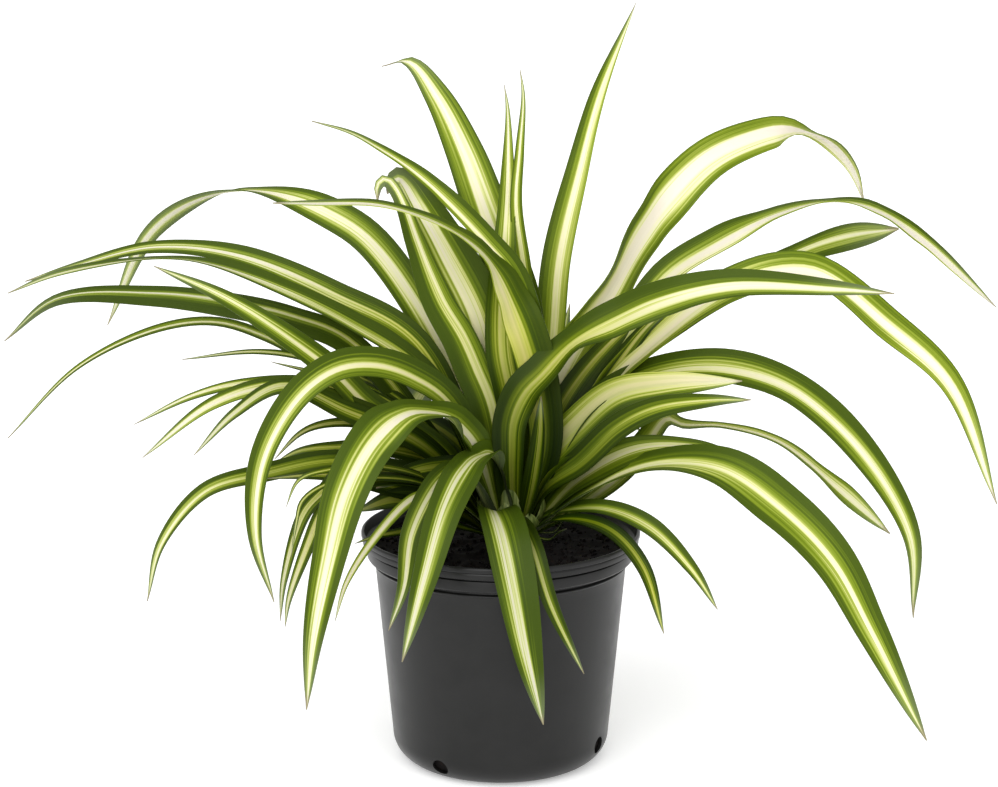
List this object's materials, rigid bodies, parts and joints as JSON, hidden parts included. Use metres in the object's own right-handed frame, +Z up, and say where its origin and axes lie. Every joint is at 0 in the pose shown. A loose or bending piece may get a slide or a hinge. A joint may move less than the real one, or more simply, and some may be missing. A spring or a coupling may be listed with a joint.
{
  "type": "potted spider plant",
  "caption": "Spider plant with long arching striped leaves, growing from one crown in the soil of a round tapered nursery pot.",
  "frame": {"origin": "middle of the flat underside of the pot, on the surface it stands on", "axes": "+Z up along the pot's axis, +X to the viewer's right, -Y towards the viewer of the picture"},
  "size_m": [0.6141, 0.296, 0.4355],
  "materials": {
    "pot_plastic": "blow-moulded black polypropylene, satin",
    "potting_soil": "damp peat-based potting mix, matt and crumbly",
    "leaf": "fresh leaf, green with a cream stripe down the middle, soft sheen"
  },
  "bodies": {
    "root": {"pot": "pot_plastic", "soil": "potting_soil", "rosette": "leaf"}
  },
  "joints": []
}
